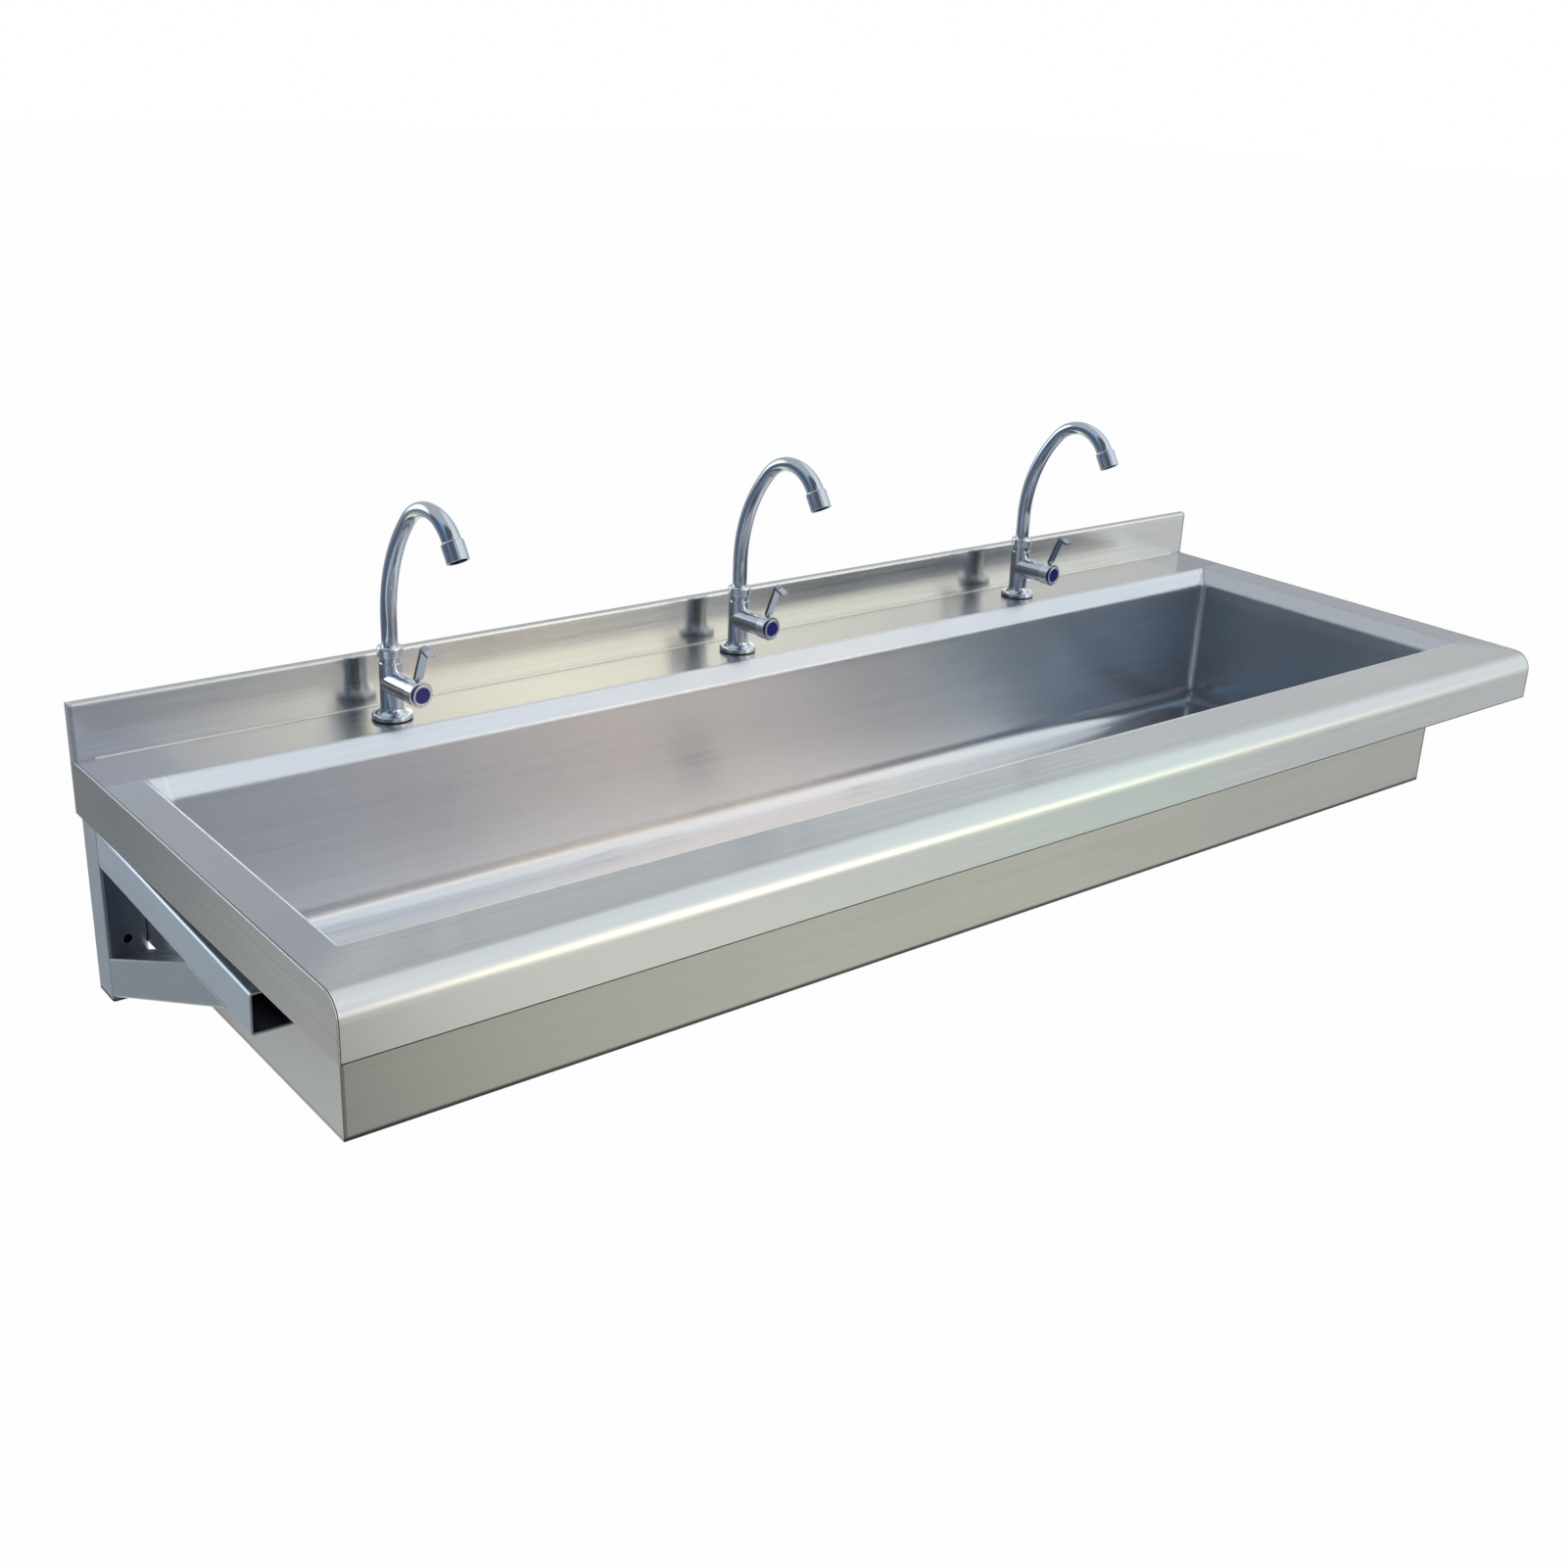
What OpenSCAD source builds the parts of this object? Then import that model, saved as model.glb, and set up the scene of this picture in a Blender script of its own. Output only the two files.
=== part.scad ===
// Wall-hung stainless-steel trough sink with three swan-neck pillar taps.
// Millimetres, +Z up. The plane y = 0 is the wall and the user stands on the -Y side.
// The origin is the middle of the four wall bolts, in the wall plane.
// Every piece is drawn from the deck's top face and its own axis, then dropped into place.

/* [Basin] */
// Length of the whole sink, end to end
sink_length = 1800; // [1700:10:2400]
// Depth of the whole sink, wall to front apron
sink_depth = 650; // [600:5:760]
// Height of the front apron and the end plates
apron_h = 63; // [50:1:90]
// Outside radius of the rolled front edge
nose_r = 25; // [15:1:40]
// Width of the flat front rim, apron face to bowl opening
front_rim = 90; // [60:1:120]
// Width of each end rim, end face to bowl opening
end_rim = 45; // [35:1:80]
// Width of the tap ledge, backsplash face to bowl opening
tap_ledge = 87; // [75:1:120]
// Height of the backsplash above the deck
splash_h = 66; // [30:1:150]
// Thickness of the folded backsplash
splash_t = 13; // [8:1:30]
// Thickness of the deck sheet
deck_sheet = 1.5; // [1:0.1:3]

/* [Bowl] */
// Depth of the bowl below the deck
bowl_depth = 212; // [150:1:300]
// Depth of the sloping band round the opening
band_drop = 20.5; // [10:0.5:30]
// Width of the band along the back
rear_band = 17; // [8:0.5:30]
// Width of the band at each end
end_band = 15; // [8:0.5:30]
// Width of the band along the front
front_band = 30; // [24:0.5:40]
// Inside radius where walls and floor meet
cove_r = 25; // [12:1:45]
// Inside radius of the upright corners
corner_r = 8; // [3:0.5:20]
// Thickness of the bowl sheet
bowl_sheet = 1.5; // [1:0.1:3]

/* [Casing] */
// Distance of the casing's ends from the sink's ends
casing_inset = 50; // [47:0.5:54]
// Distance of the casing's face behind the apron's face
casing_setback = 111; // [100:1:113]
// Width of the lips folded in along the casing's lower edge
casing_lip = 45; // [38:1:70]
// Thickness of the casing sheet
casing_sheet = 1.5; // [1:0.1:3]

/* [Brackets] */
// Width of the square tube
tube_w = 45; // [36:1:46]
// Wall of the square tube
tube_wall = 2; // [1.5:0.1:4]
// Height of the leg below the deck, with its end cap
leg_drop = 278; // [240:1:330]
// Length of the arm along its top
arm_length = 405; // [340:1:440]
// Fall of the arm towards the front, in degrees
arm_fall = 2.6; // [0:0.1:5]
// Rise of the brace towards the front, in degrees
brace_rise = 22.5; // [18:0.5:35]
// Diameter of the wall bolts' holes
bolt_hole_d = 11; // [8:0.5:14]
// Height between the two bolts of a leg
bolt_rise = 70; // [50:1:85]

/* [Taps] */
// Distance of the first tap from the left end
tap_first = 352; // [250:1:420]
// Distance of the middle tap from the left end
tap_middle = 855; // [700:1:1000]
// Distance of the last tap from the left end
tap_last = 1376; // [1280:1:1480]
// Distance of the tap axes from the wall
tap_back = 60; // [52:1:66]
// Turn of the taps to the right, in degrees
tap_turn = 6; // [-30:1:30]
// Diameter of the tap's foot
foot_d = 48; // [42:1:56]
// Diameter of the tap's column
column_d = 27; // [26:0.5:32]
// Height of the spout seat above the deck
column_h = 76; // [70:1:95]
// Height of the valve axis above the deck
valve_z = 44; // [40:1:50]
// Diameter of the valve branch
branch_d = 29; // [27:0.5:34]
// Length of the valve branch from the column axis
branch_l = 48; // [40:1:60]
// Diameter of the thread under the foot
shank_d = 20.96; // [18:0.02:24]
// Length of the thread below the deck
shank_l = 45; // [30:1:70]

/* [Spouts] */
// Diameter of the spout tube
spout_d = 18; // [16:0.5:20]
// Wall of the spout tube
spout_wall = 1.5; // [1:0.1:2.5]
// Height above the deck where the spout starts to bend
spout_rise = 119; // [110:1:180]
// Radius of the slow bend
slow_r = 190; // [140:1:240]
// Angle of the slow bend, in degrees
slow_bend = 42; // [30:1:50]
// Radius of the crown bend
crown_r = 51; // [40:1:75]
// Slope of the outlet below the level, in degrees
outlet_fall = 60; // [50:1:80]
// Diameter of the aerator
aerator_d = 26; // [23:0.5:30]
// Length of the aerator
aerator_l = 23; // [18:0.5:34]

/* [Handles] */
// Diameter of the knob
knob_d = 31; // [29:0.5:36]
// Length of the knob
knob_l = 13; // [11:0.5:18]
// Diameter of the blue index cap
cap_d = 25; // [20:0.5:27]
// Length of the lever from the valve axis to its tip
lever_l = 66; // [50:1:80]
// Width of the lever
lever_w = 11; // [8:0.5:14]
// Thickness of the lever
lever_t = 4; // [3:0.5:6]
// Lean of the lever away from the spout, in degrees
lever_lean = 22; // [0:1:30]

/* [Waste] */
// Diameter of the waste's flange in the bowl
waste_flange_d = 70; // [64:1:86]
// Diameter of the waste's tail thread
waste_d = 47.8; // [44:0.1:50]
// Length of the tail below the bowl's floor
waste_l = 55; // [40:1:90]
// Distance of the waste from the middle, to the right
waste_offset = 0; // [-700:5:700]

/* [Hidden] */
$fn = 64;
// Cuts run past the faces they open by this much
over = 1;
// Clearances: loose parts, sliding fits, threads
loose = 0.3;
slide = 0.05;
thread = 0.02;

// Basin
half = sink_length / 2;
lip = 20;              // width of the lips along the apron's and end plates' lower edges
bend_r = 3;            // outside radius of the backsplash's top folds
splash_drop = 40;      // how far the backsplash reaches down behind the deck
opening_back = sink_depth - splash_t - tap_ledge;
deck_back = sink_depth - deck_sheet;

// Bowl
bowl_rear = opening_back - rear_band;
bowl_front = front_rim + front_band;
bowl_mid = (bowl_front + bowl_rear) / 2;
bowl_end = end_rim + end_band;

// Casing: its flange lies on the lips, its lower lips carry the bowl's floor
casing_drop = bowl_depth + bowl_sheet + casing_sheet;
flange_z = -apron_h + deck_sheet;
casing_rear = 5;       // gap between the casing's ends and the wall

// Brackets stand against the casing's ends
bracket_x = half - casing_inset + tube_w / 2;
tube_in_r = 1;         // inside corner radius of the tube
tube_r = tube_wall + tube_in_r;
tube_hollow = tube_w - 2 * tube_wall;
arm_gap = 5;           // drop of the arm below the end plate at the leg
brace_foot = 3;        // height of the brace above the tube's lower end
plug_t = 3;            // plate of the leg's end cap
plug_l = 12;           // stub of the end cap inside the tube
tube_foot = leg_drop - plug_t;
bolt_high = 135;       // depth of the upper bolts below the deck
mount_drop = bolt_high + bolt_rise / 2;
brace_run = 2 * arm_length;

// Tap: heights above the deck, distances from the column's axis
tap_places = [tap_first, tap_middle, tap_last];
gasket_t = 1.5;
gasket_edge = 1;       // how far the gasket stays inside the foot
foot_t = 5;
foot_round = 2;
foot_fillet = 8;
hole_play = 0.5;       // play of a thread in its hole, all round
hole_d = shank_d + 2 * hole_play;
neck_step = 1.5;
neck_d = column_d - 2 * neck_step;
neck_h = 8;
shoulder_h = column_h - neck_h;
rim_d = 23;            // threaded rim that the collar screws on
rim_h = 7;
seat_z = 60;           // floor of the spout's socket
way_d = 12;            // waterway
shank_top = 14;        // how far the shank screws into the foot
shank_bore = 13;
relief_w = 2;          // groove that ends a thread below its nut
relief_depth = 0.8;
relief_gap = 0.5;      // from the nut's face to the groove
nut_af = 27;
nut_h = 7;
nut_flange_d = 32;
nut_flange_t = 2;
swage = 0.05;          // how much the riser's wall is thicker, inside and out
riser_d = spout_d + 2 * swage;
socket_d = riser_d + 2 * slide;
collar_d = 30;
collar_h = 12;
collar_round = 3;

// Valve
insert_d = 20;         // bore of the branch that takes the cartridge
insert_back = 16;      // where the cartridge starts
insert_head_d = 23;
insert_head_t = 4.5;
spindle_d = 8;
spindle_back = 24;     // where the spindle starts inside the cartridge
knob_gap = 0.5;        // running gap between branch and knob
knob_web = 4;          // front wall of the knob
knob_hollow_d = 26;
knob_boss_d = 14;
knob_boss_l = 3;
knob_front = branch_l + knob_gap + knob_l;
cap_seat = 2.5;
cap_proud = 3;
cap_round = 1.5;
lever_foot = 6.5;      // lever's stem behind the knob's front face, at the knob's skin
lever_seat = knob_d / 2 / cos(lever_lean);   // knob's skin, measured up the lever
stem_d = 7;
stem_l = 5.5;          // bare stem between knob and blade
stud_d = 4;
stud_in = 2.2;         // stud inside the knob's wall
tip_l = 14;            // finger lip at the lever's tip
tip_t = 3;
tip_down = 3;

// Spout
crown_bend = 90 + outlet_fall - slow_bend;
overlap_turn = 0.3;    // how far the slow bend runs on into the riser, in degrees
stub_l = 10;           // threaded end of the tube inside the aerator
stub_step = 0.25;      // its step below the tube's skin
stub_d = spout_d - 2 * stub_step;
spout_bore_d = spout_d - 2 * spout_wall;
aerator_web = 3;       // jet plate
aerator_bore_d = 21;
jet_d = 3;
jet_ring_r = 6;
jets = 6;
aerator_round = 2;

// Waste: heights from the bowl's floor
seal_t = 1.5;
waste_flange_t = 3;
waste_hole_d = waste_d + 2 * hole_play;
waste_bore_d = 40;
grid_d = 44;
grid_t = 2;
grid_hole_d = 5;
grid_ring_shares = [[6, 0.45], [12, 0.75]];   // count of holes, ring's share of the grid's radius
bar_w = 6;
bar_h = 8;
boss_d = 12;
screw_d = 4;
screw_head_d = 8;
screw_head_t = 1.5;
screw_l = 9;
washer_t = 3;
washer_d = 66;
locknut_af = 60;
locknut_t = 10;

steel = [0.72, 0.73, 0.72];
panel = [0.62, 0.63, 0.62];
pipe = [0.60, 0.65, 0.70];
chrome = [0.86, 0.88, 0.90];
brass = [0.80, 0.66, 0.35];
rubber = [0.10, 0.10, 0.11];
blue = [0.08, 0.10, 0.55];

// Placing

// Heights are measured from the deck's top face
module at_deck() translate([0, 0, mount_drop]) children();

// A section drawn as (distance behind the apron's face, height), run along the sink
module along(length) translate([-length / 2, -sink_depth, 0])
    rotate([90, 0, 90]) linear_extrude(height = length) children();

// A section drawn as (x, height), run from the wall to the front
module across() rotate([90, 0, 0]) linear_extrude(height = sink_depth) children();

// A box given by its two corners
module box(a, b) translate(a) cube(b - a);

function tap_x(i) = -half + tap_places[i];

// Tap number i stands on the ledge and looks to the front, turned a little
module at_tap(i) at_deck()
    translate([tap_x(i), -tap_back, 0]) rotate([0, 0, tap_turn]) children();

// The valve's axis, drawn along +Z, points to the front of the tap
module at_valve() translate([0, 0, valve_z]) rotate([90, 0, 0]) children();

// The basin's own modules

// Rim seen from its end: front nosing, flat top and apron, g inside its outer faces
module rim_form(g, back, under) {
    translate([nose_r, -under]) square([back - nose_r, under - g]);
    translate([g, -under]) square([nose_r - g, under - nose_r]);
    translate([nose_r, -nose_r]) circle(r = nose_r - g);
}

// Backsplash seen from its end, g inside its outer faces, reaching down by under
module splash_form(g, under) {
    r = max(bend_r - g, bend_r / 10);
    translate([sink_depth - splash_t + g, -under]) {
        square([splash_t - 2 * g, under + splash_h - g - r]);
        translate([r, 0]) square([splash_t - 2 * g - 2 * r, under + splash_h - g]);
        for (x = [r, splash_t - 2 * g - r]) translate([x, under + splash_h - g - r]) circle(r = r);
    }
}

// Sideways shift of the band's outer face, and the depth where it meets the wall
function band_shift(g, a) = g * sqrt(a * a + band_drop * band_drop) / band_drop;
function band_foot(g, a) = band_drop * (a + band_shift(g, a) - g) / a;

// Bowl outline between two opening edges: band, wall, cove and floor, g outside the hollow
module bowl_section(lo, hi, band_lo, band_hi, g, up) {
    wall_lo = lo + band_lo - g;
    wall_hi = hi - band_hi + g;
    r = cove_r + g;
    edge_lo = lo - band_shift(g, band_lo);
    edge_hi = hi + band_shift(g, band_hi);
    polygon([[edge_lo, up], [edge_lo, 0],
        [wall_lo, -band_foot(g, band_lo)], [wall_lo, -bowl_depth + cove_r],
        [wall_hi, -bowl_depth + cove_r], [wall_hi, -band_foot(g, band_hi)],
        [edge_hi, 0], [edge_hi, up]]);
    translate([wall_lo + r, -bowl_depth - g]) square([wall_hi - wall_lo - 2 * r, r]);
    for (x = [wall_lo + r, wall_hi - r]) translate([x, -bowl_depth + cove_r]) circle(r = r);
}

// Upright corners of the bowl below the band
module bowl_corners(g) {
    r = corner_r + g;
    x = half - bowl_end + g - r;
    front = -sink_depth + bowl_front - g + r;
    rear = -sink_depth + bowl_rear + g - r;
    translate([0, 0, -bowl_depth - g - over]) linear_extrude(height = bowl_depth - band_drop + over) {
        translate([-x - r, front]) square([2 * (x + r), rear - front]);
        translate([-x, front - r]) square([2 * x, rear - front + 2 * r]);
        for (px = [-x, x], py = [front, rear]) translate([px, py]) circle(r = r);
    }
    box([-half, -sink_depth, -band_drop - g], [half, 0, over]);
}

// The bowl's hollow (g = 0) or its outside, reaching up above the deck's top face
module bowl_form(g, up) intersection() {
    along(sink_length) bowl_section(front_rim, opening_back, front_band, rear_band, g, up);
    across() bowl_section(-half + end_rim, half - end_rim, end_band, end_band, g, up);
    bowl_corners(g);
}

module deck() color(steel) at_deck() difference() {
    along(sink_length - 2 * deck_sheet) {
        difference() {
            rim_form(0, deck_back, apron_h);
            rim_form(deck_sheet, deck_back + over, apron_h + over);
        }
        translate([0, -apron_h]) square([lip, deck_sheet]);
    }
    bowl_form(bowl_sheet, over);
    for (i = [0 : len(tap_places) - 1]) translate([tap_x(i), -tap_back, -deck_sheet - over])
        cylinder(d = hole_d, h = deck_sheet + 2 * over);
}

module backsplash() color(steel) at_deck() along(sink_length - 2 * deck_sheet) difference() {
    union() {
        splash_form(0, 0);
        translate([deck_back, -splash_drop]) square([deck_sheet, splash_drop + splash_h / 2]);
    }
    splash_form(deck_sheet, over);
}

module end_plate(side) color(steel) at_deck() {
    translate([side * (half - deck_sheet / 2), 0, 0]) along(deck_sheet) {
        rim_form(0, sink_depth, apron_h);
        splash_form(0, apron_h);
    }
    low = half - deck_sheet - lip;
    translate([side < 0 ? -half + deck_sheet : low, -sink_depth + lip, -apron_h])
        cube([lip, sink_depth - lip, deck_sheet]);
}

module left_end_plate() end_plate(-1);
module right_end_plate() end_plate(1);

module bowl() color(steel) at_deck() difference() {
    bowl_form(bowl_sheet, 0);
    bowl_form(0, over);
    translate([waste_offset, -sink_depth + bowl_mid, -bowl_depth - bowl_sheet - over])
        cylinder(d = waste_hole_d, h = bowl_sheet + 2 * over);
}

module bowl_casing() color(panel) at_deck() {
    x = half - casing_inset;
    xi = x - casing_sheet;
    front = -sink_depth + casing_setback;
    inner = front + casing_sheet;
    top = flange_z + casing_sheet;
    difference() {
        union() {
            box([-half + deck_sheet + loose, -sink_depth + deck_sheet + loose, flange_z],
                [half - deck_sheet - loose, -casing_rear, top]);
            box([-x, front, -casing_drop], [x, -casing_rear, top]);
        }
        box([-xi, inner, -casing_drop + casing_sheet], [xi, over, top + over]);
        box([-xi + casing_lip, inner + casing_lip, -casing_drop - over], [xi - casing_lip, over, top]);
    }
}

// The brackets' own modules

module tube_form(w, r) {
    translate([-w / 2 + r, -w / 2]) square([w - 2 * r, w]);
    translate([-w / 2, -w / 2 + r]) square([w, w - 2 * r]);
    for (x = [-1, 1], y = [-1, 1]) translate([x * (w / 2 - r), y * (w / 2 - r)]) circle(r = r);
}

module tube(length) linear_extrude(height = length) difference() {
    tube_form(tube_w, tube_r);
    tube_form(tube_hollow, tube_in_r);
}

// Frame of the arm: its top edge starts at the leg's front face and falls to the front
module at_arm(side) translate([side * bracket_x, -tube_w, -apron_h - arm_gap])
    rotate([arm_fall, 0, 0]) children();

// Everything behind the legs' front faces
module behind_leg_face() box([-half - over, -tube_w, -2 * leg_drop], [half + over, tube_w, 0]);

module leg(side) color(pipe) at_deck() difference() {
    translate([side * bracket_x, -tube_w / 2, -tube_foot]) tube(tube_foot - apron_h);
    for (z = [bolt_high, bolt_high + bolt_rise]) translate([side * bracket_x, over, -z])
        rotate([90, 0, 0]) cylinder(d = bolt_hole_d, h = tube_w + 2 * over);
}

module arm(side) color(pipe) at_deck() difference() {
    at_arm(side) translate([0, tube_w, -tube_w / 2]) rotate([90, 0, 0]) tube(arm_length + tube_w);
    behind_leg_face();
}

module brace(side) color(pipe) at_deck() difference() {
    translate([side * bracket_x, -tube_w, -tube_foot + brace_foot]) rotate([-brace_rise, 0, 0])
        translate([0, tube_w, tube_w / 2]) rotate([90, 0, 0]) tube(brace_run);
    behind_leg_face();
    at_arm(side) translate([-tube_w, -2 * brace_run, -tube_w]) cube([2 * tube_w, 3 * brace_run, brace_run]);
}

module leg_cap(side) color(rubber) at_deck() translate([side * bracket_x, -tube_w / 2, -leg_drop]) {
    linear_extrude(height = plug_t) tube_form(tube_w, tube_r);
    linear_extrude(height = plug_t + plug_l) tube_form(tube_hollow - 2 * slide, tube_in_r);
}

module left_leg() leg(-1);
module left_arm() arm(-1);
module left_brace() brace(-1);
module left_leg_cap() leg_cap(-1);
module right_leg() leg(1);
module right_arm() arm(1);
module right_brace() brace(1);
module right_leg_cap() leg_cap(1);

// The waste's own modules

module at_waste() at_deck() translate([waste_offset, -sink_depth + bowl_mid, -bowl_depth]) children();

// A ring standing on z
module ring(d_out, d_in, z, h) translate([0, 0, z]) difference() {
    cylinder(d = d_out, h = h);
    translate([0, 0, -over]) cylinder(d = d_in, h = h + 2 * over);
}

// What a groove below a nut takes off a thread; z is the nut's lower face
module relief(d, z) ring(d + 2 * over, d - 2 * relief_depth, z - relief_gap - relief_w, relief_w);

// A hexagon nut with a round bore, standing on z
module hex_nut(af, bore, z, h) translate([0, 0, z]) difference() {
    cylinder(d = af / cos(30), h = h, $fn = 6);
    translate([0, 0, -over]) cylinder(d = bore, h = h + 2 * over);
}

waste_top = seal_t + waste_flange_t;
grid_z = waste_top - grid_t;
bar_z = grid_z - bar_h;

module waste_flange() color(chrome) at_waste() {
    difference() {
        union() {
            translate([0, 0, seal_t]) cylinder(d = waste_flange_d, h = waste_flange_t);
            translate([0, 0, -waste_l]) cylinder(d = waste_d, h = waste_l + waste_top - grid_t);
        }
        relief(waste_d, -bowl_sheet - washer_t - locknut_t);
        translate([0, 0, -waste_l - over]) cylinder(d = waste_bore_d, h = waste_l + waste_top + 2 * over);
        translate([0, 0, grid_z]) cylinder(d = grid_d, h = grid_t + over);
    }
    difference() {
        union() {
            translate([-waste_bore_d / 2 - over, -bar_w / 2, bar_z])
                cube([waste_bore_d + 2 * over, bar_w, bar_h]);
            translate([0, 0, bar_z]) cylinder(d = boss_d, h = bar_h);
        }
        translate([0, 0, bar_z - over]) cylinder(d = screw_d, h = bar_h + 2 * over);
    }
}

module waste_grid() color(chrome) at_waste() translate([0, 0, grid_z]) difference() {
    cylinder(d = grid_d - 2 * slide, h = grid_t);
    translate([0, 0, -over]) cylinder(d = screw_d + 2 * slide, h = grid_t + 2 * over);
    for (row = grid_ring_shares) for (k = [0 : row[0] - 1]) rotate([0, 0, k * 360 / row[0]])
        translate([grid_d / 2 * row[1], 0, -over]) cylinder(d = grid_hole_d, h = grid_t + 2 * over);
}

module waste_screw() color(chrome) at_waste() {
    translate([0, 0, waste_top]) cylinder(d = screw_head_d, h = screw_head_t);
    translate([0, 0, waste_top - screw_l])
        cylinder(d = screw_d - 2 * thread, h = screw_l + screw_head_t / 2);
}

module waste_gasket() color(rubber) at_waste()
    ring(waste_flange_d - 2 * gasket_edge, waste_hole_d, 0, seal_t);
module waste_washer() color(rubber) at_waste()
    ring(washer_d, waste_d + 2 * slide, -bowl_sheet - washer_t, washer_t);
module waste_locknut() color(brass) at_waste()
    hex_nut(locknut_af, waste_d + 2 * thread, -bowl_sheet - washer_t - locknut_t, locknut_t);

// The taps' own modules

module tap_gasket(i) color(rubber) at_tap(i) ring(foot_d - 2 * gasket_edge, hole_d, 0, gasket_t);

// Foot with a rounded edge and a fillet up to the column, then neck and threaded rim
module tap_turned() rotate_extrude() translate([0, gasket_t]) {
    r = foot_d / 2;
    square([r - foot_round, foot_t]);
    square([r, foot_t - foot_round]);
    translate([r - foot_round, foot_t - foot_round]) circle(r = foot_round);
    square([column_d / 2, shoulder_h - gasket_t]);
    square([neck_d / 2, column_h - gasket_t]);
    square([rim_d / 2, column_h + rim_h - gasket_t]);
    difference() {
        translate([0, foot_t]) square([column_d / 2 + foot_fillet, foot_fillet]);
        translate([column_d / 2 + foot_fillet, foot_t + foot_fillet]) circle(r = foot_fillet);
    }
}

module tap_body(i) color(chrome) at_tap(i) difference() {
    union() {
        tap_turned();
        at_valve() cylinder(d = branch_d, h = branch_l);
    }
    translate([0, 0, -over]) cylinder(d = way_d, h = column_h);
    translate([0, 0, gasket_t - over]) cylinder(d = shank_d + 2 * thread, h = shank_top + over);
    translate([0, 0, seat_z]) cylinder(d = socket_d, h = column_h);
    at_valve() translate([0, 0, insert_back]) cylinder(d = insert_d, h = branch_l);
    at_valve() cylinder(d = way_d, h = branch_l);
}

module tap_shank(i) color(brass) at_tap(i) difference() {
    ring(shank_d, shank_bore, -shank_l, shank_l + gasket_t + shank_top);
    relief(shank_d, -deck_sheet - nut_flange_t - nut_h);
}

module tap_backnut(i) color(brass) at_tap(i) {
    ring(nut_flange_d, shank_d + 2 * thread, -deck_sheet - nut_flange_t, nut_flange_t);
    hex_nut(nut_af, shank_d + 2 * thread, -deck_sheet - nut_flange_t - nut_h, nut_h);
}

module tap_collar(i) color(chrome) at_tap(i) translate([0, 0, column_h]) difference() {
    rotate_extrude() {
        square([collar_d / 2, collar_h - collar_round]);
        square([collar_d / 2 - collar_round, collar_h]);
        translate([collar_d / 2 - collar_round, collar_h - collar_round]) circle(r = collar_round);
    }
    translate([0, 0, -collar_h]) cylinder(d = collar_d + 2 * over, h = collar_h);
    translate([0, 0, -over]) cylinder(d = rim_d + 2 * thread, h = rim_h + slide + over);
    translate([0, 0, -over]) cylinder(d = socket_d, h = collar_h + 2 * over);
}

// Section of the spout's tube
module tube_disc() difference() {
    circle(d = spout_d);
    circle(d = spout_bore_d);
}

// A bend that leaves or reaches the crown's foot on a radius r
module bend(r, angle) translate([-r, 0, 0]) rotate_extrude(angle = angle) translate([r, 0]) tube_disc();

// Frame of the crown's foot, where the slow bend meets the crown bend: +Y runs up the tube
module at_crown() translate([0, -slow_r * (1 - cos(slow_bend)), spout_rise + slow_r * sin(slow_bend)])
    rotate([90, 0, 90]) rotate([0, 0, slow_bend]) children();

// Frame of the outlet: +Z runs out of the spout
module at_outlet() at_crown() translate([-crown_r, 0, 0]) rotate([0, 0, crown_bend])
    translate([crown_r, 0, 0]) rotate([-90, 0, 0]) children();

// The riser and the threaded end overlap the bends inside their walls
module tap_spout(i) color(chrome) at_tap(i) {
    ring(riser_d, spout_bore_d - 2 * swage, seat_z + slide, spout_rise - seat_z - slide);
    at_crown() {
        bend(slow_r, -slow_bend - overlap_turn);
        bend(crown_r, crown_bend);
    }
    at_outlet() ring(stub_d, spout_bore_d + 2 * stub_step, -over, stub_l + over);
}

module tap_aerator(i) color(chrome) at_tap(i) at_outlet() difference() {
    rotate_extrude() {
        translate([0, aerator_round]) square([aerator_d / 2, aerator_l - aerator_round]);
        square([aerator_d / 2 - aerator_round, aerator_l]);
        translate([aerator_d / 2 - aerator_round, aerator_round]) circle(r = aerator_round);
    }
    translate([0, 0, -over - aerator_l]) cylinder(d = aerator_d + 2 * over, h = aerator_l + over);
    translate([0, 0, -over]) cylinder(d = stub_d + 2 * slide, h = stub_l + over + slide);
    translate([0, 0, stub_l + aerator_web]) cylinder(d = aerator_bore_d, h = aerator_l);
    for (k = [0 : jets]) rotate([0, 0, k * 360 / jets])
        translate([k < jets ? jet_ring_r : 0, 0, 0]) cylinder(d = jet_d, h = aerator_l);
}

module tap_cartridge(i) color(brass) at_tap(i) at_valve() difference() {
    union() {
        translate([0, 0, insert_back]) cylinder(d = insert_d - 2 * slide, h = branch_l - insert_back);
        translate([0, 0, branch_l]) cylinder(d = insert_head_d, h = insert_head_t);
    }
    translate([0, 0, spindle_back - slide]) cylinder(d = spindle_d + 2 * slide, h = branch_l);
}

module tap_spindle(i) color(brass) at_tap(i) at_valve()
    translate([0, 0, spindle_back])
        cylinder(d = spindle_d, h = knob_front - cap_seat - loose - spindle_back);

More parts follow.
